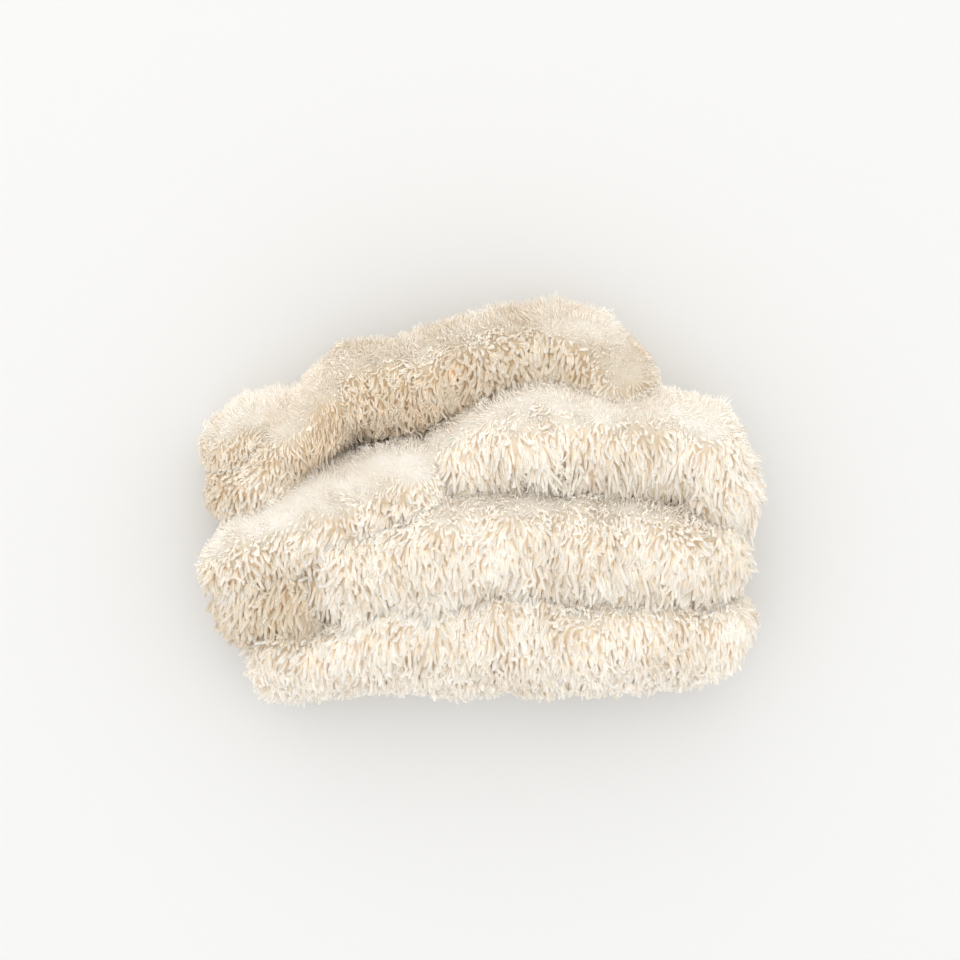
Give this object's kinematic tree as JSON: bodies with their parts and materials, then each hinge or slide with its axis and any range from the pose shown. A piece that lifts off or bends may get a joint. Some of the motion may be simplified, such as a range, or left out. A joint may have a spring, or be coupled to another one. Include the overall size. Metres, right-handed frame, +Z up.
{
  "type": "lion's mane mushroom",
  "caption": "Lion's mane mushroom: one cream fruiting body of fused rolls covered in soft hanging spines, resting on the flat cut where it was taken off its block.",
  "frame": {"origin": "under the middle of the mushroom's box, on the plane of the flat cut that it rests on", "axes": "+Z up, away from the cut; +X along the longest side, the rolls' length; +Y is the side that was up as it grew, so the spines hang towards -Y"},
  "size_m": [0.1222, 0.0882, 0.0401],
  "materials": {
    "mushroom_flesh": "matt, soft cream flesh with a slight glow where light passes through the spines, tan between them"
  },
  "bodies": {
    "root": {"fruiting_body": "mushroom_flesh"}
  },
  "joints": []
}
